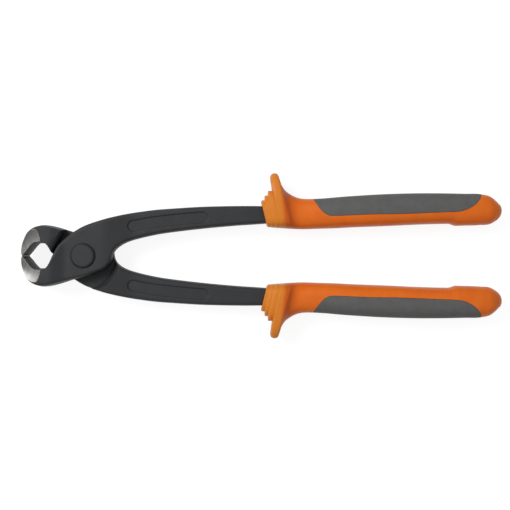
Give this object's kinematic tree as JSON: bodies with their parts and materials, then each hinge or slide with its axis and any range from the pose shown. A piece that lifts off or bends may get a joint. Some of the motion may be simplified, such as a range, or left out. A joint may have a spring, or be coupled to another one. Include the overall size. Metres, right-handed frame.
{
  "type": "rebar tying pliers",
  "caption": "End-cutting pliers for twisting and cutting rebar tie wire, with a riveted lap joint, curved arms and two-colour grips with finger guards.",
  "frame": {"origin": "on the pivot axis, in the plane that the tool lies on, 1 mm below the rear head of the rivet", "axes": "+X from the pivot to the ends of the grips, +Z along the pivot axis towards the front lever, +Y towards the front lever's arm"},
  "size_m": [0.2499, 0.0864, 0.02],
  "materials": {
    "black_steel": "matte black forged steel, bright ground jaw faces",
    "rivet_steel": "satin black",
    "orange_plastic": "satin",
    "grey_rubber": "matte"
  },
  "bodies": {
    "rear_half": {"rear_lever": "black_steel", "pivot_rivet": "rivet_steel", "rear_grip_shell": "orange_plastic", "rear_grip_pad": "grey_rubber"},
    "front_half": {"front_lever": "black_steel", "front_grip_shell": "orange_plastic", "front_grip_pad": "grey_rubber"}
  },
  "joints": [
    {"name": "pivot", "type": "hinge", "parent": "rear_half", "child": "front_half", "pos_m": [0, 0, 0.01], "axis": [0, 0, 1], "range_deg": [0, 38]}
  ]
}
